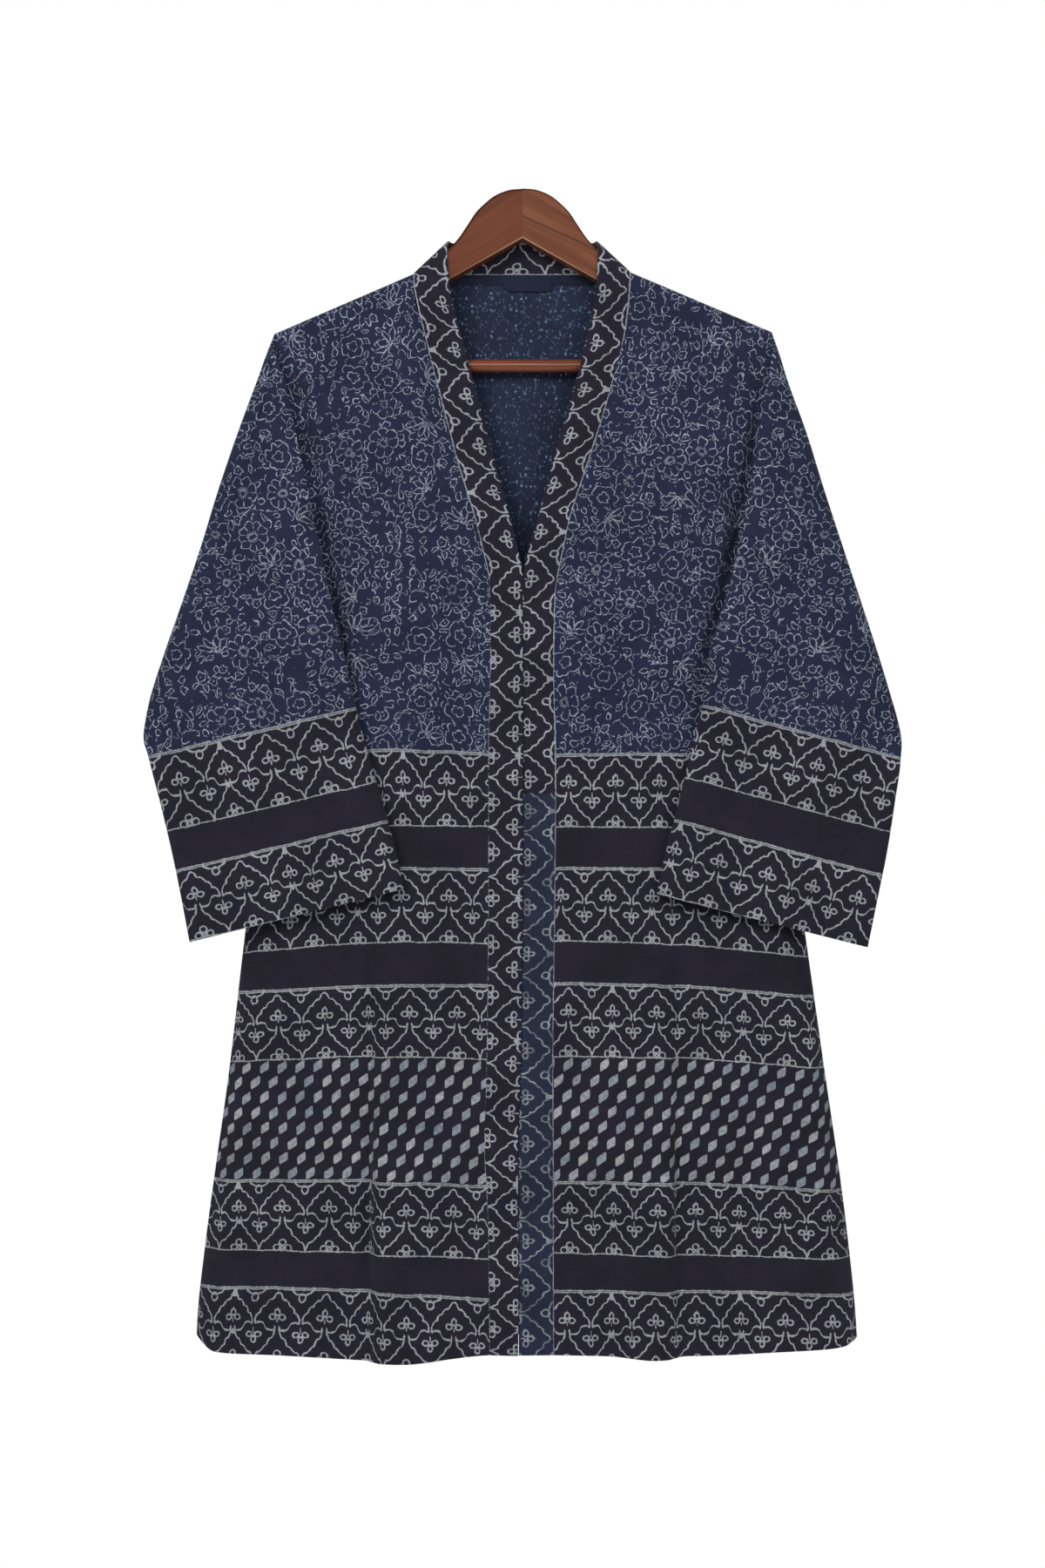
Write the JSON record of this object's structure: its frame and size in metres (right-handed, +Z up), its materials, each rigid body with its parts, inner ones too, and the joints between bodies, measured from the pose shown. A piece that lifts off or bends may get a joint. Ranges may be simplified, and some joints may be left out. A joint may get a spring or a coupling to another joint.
{
  "type": "kimono jacket on wooden hanger",
  "caption": "Open-fronted cotton kimono jacket with wide folded sleeves and a printed neck band, hanging on a wooden hanger.",
  "frame": {"origin": "top of the hanger's head, which is where it hangs from", "axes": "+Z up, -Y towards the front of the jacket, +X towards the wearer's left"},
  "size_m": [0.6434, 0.0636, 1.0001],
  "materials": {
    "printed_cotton": "matte",
    "band_cotton": "matte",
    "trim_cotton": "matte",
    "hanger_wood": "satin",
    "bar_wood": "satin"
  },
  "bodies": {
    "root": {"back": "printed_cotton", "right_front": "printed_cotton", "left_front": "printed_cotton", "right_sleeve": "printed_cotton", "left_sleeve": "printed_cotton", "neck_band": "band_cotton", "right_lower_band": "band_cotton", "left_lower_band": "band_cotton", "neck_binding": "trim_cotton", "hang_loop": "trim_cotton", "hanger_right_arm": "hanger_wood", "hanger_left_arm": "hanger_wood", "hanger_bar": "bar_wood"}
  },
  "joints": []
}
